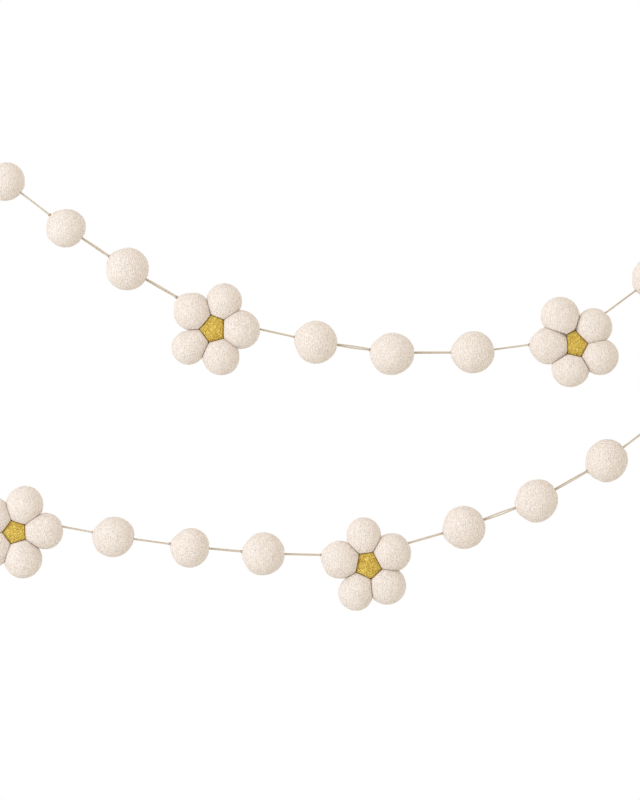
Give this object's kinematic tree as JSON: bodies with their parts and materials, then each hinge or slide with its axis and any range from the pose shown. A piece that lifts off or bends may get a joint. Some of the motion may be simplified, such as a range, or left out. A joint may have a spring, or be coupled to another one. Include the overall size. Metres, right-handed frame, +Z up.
{
  "type": "felt daisy garland",
  "caption": "Garland of cream wool felt balls and pressed felt daisies with mustard middles, on a doubled cotton cord with hanging loops at its ends, hung in swags.",
  "frame": {"origin": "where the upper left hanging loop rests on its wall pin", "axes": "+X along the swags, away from the hanging loops; +Y away from the viewer, towards the wall; +Z up"},
  "size_m": [0.4855, 0.0252, 0.2765],
  "materials": {
    "cream_felt": "matte wet-felted wool, finely crinkled",
    "mustard_felt": "matte wet-felted wool, finely crinkled",
    "cotton_cord": "matte twisted cotton thread, laid double"
  },
  "bodies": {
    "root": {"cord": "cotton_cord", "ball_01": "cream_felt", "ball_02": "cream_felt", "ball_03": "cream_felt", "ball_04": "cream_felt", "ball_05": "cream_felt", "ball_06": "cream_felt", "ball_07": "cream_felt", "ball_08": "cream_felt", "ball_09": "cream_felt", "ball_10": "cream_felt", "ball_11": "cream_felt", "ball_12": "cream_felt", "ball_13": "cream_felt", "ball_14": "cream_felt", "ball_15": "cream_felt", "daisy_1_petal_1": "cream_felt", "daisy_1_petal_2": "cream_felt", "daisy_1_petal_3": "cream_felt", "daisy_1_petal_4": "cream_felt", "daisy_1_petal_5": "cream_felt", "daisy_1_button": "mustard_felt", "daisy_2_petal_1": "cream_felt", "daisy_2_petal_2": "cream_felt", "daisy_2_petal_3": "cream_felt", "daisy_2_petal_4": "cream_felt", "daisy_2_petal_5": "cream_felt", "daisy_2_button": "mustard_felt", "daisy_3_petal_1": "cream_felt", "daisy_3_petal_2": "cream_felt", "daisy_3_petal_3": "cream_felt", "daisy_3_petal_4": "cream_felt", "daisy_3_petal_5": "cream_felt", "daisy_3_button": "mustard_felt", "daisy_4_petal_1": "cream_felt", "daisy_4_petal_2": "cream_felt", "daisy_4_petal_3": "cream_felt", "daisy_4_petal_4": "cream_felt", "daisy_4_petal_5": "cream_felt", "daisy_4_button": "mustard_felt", "daisy_5_petal_1": "cream_felt", "daisy_5_petal_2": "cream_felt", "daisy_5_petal_3": "cream_felt", "daisy_5_petal_4": "cream_felt", "daisy_5_petal_5": "cream_felt", "daisy_5_button": "mustard_felt"}
  },
  "joints": []
}
